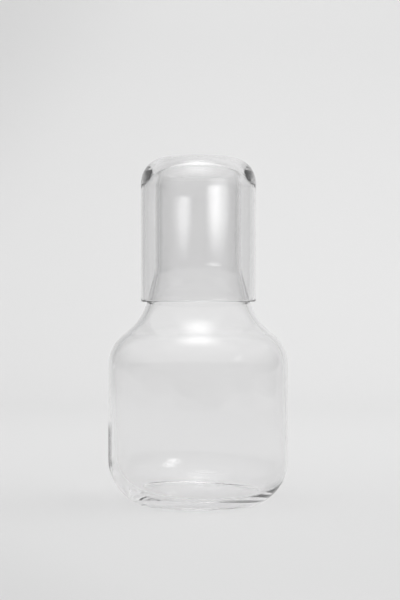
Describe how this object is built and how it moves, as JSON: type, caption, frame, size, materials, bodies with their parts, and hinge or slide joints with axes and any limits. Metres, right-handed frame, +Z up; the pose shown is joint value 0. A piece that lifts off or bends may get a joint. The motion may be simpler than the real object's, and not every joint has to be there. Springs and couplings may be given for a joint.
{
  "type": "bedside carafe with tumbler",
  "caption": "Clear glass bedside water carafe with rounded shoulders, whose drinking tumbler sits upside down over the neck as a lid.",
  "frame": {"origin": "centre of the carafe's foot, on the surface that it stands on", "axes": "+Z up along the axis that both glasses are turned about; -Y towards the picture's camera and +X to its right"},
  "size_m": [0.105, 0.105, 0.2011],
  "materials": {
    "carafe_glass": "clear blown glass, fire-polished lip, bare and smooth",
    "tumbler_glass": "clear blown glass, fire-polished rim, bare and smooth"
  },
  "bodies": {
    "carafe": {"carafe": "carafe_glass"},
    "tumbler": {"tumbler": "tumbler_glass"}
  },
  "joints": [
    {"name": "tumbler_lift", "type": "slide", "parent": "carafe", "child": "tumbler", "axis": [0, 0, 1], "range_m": [0, 0.1]}
  ]
}
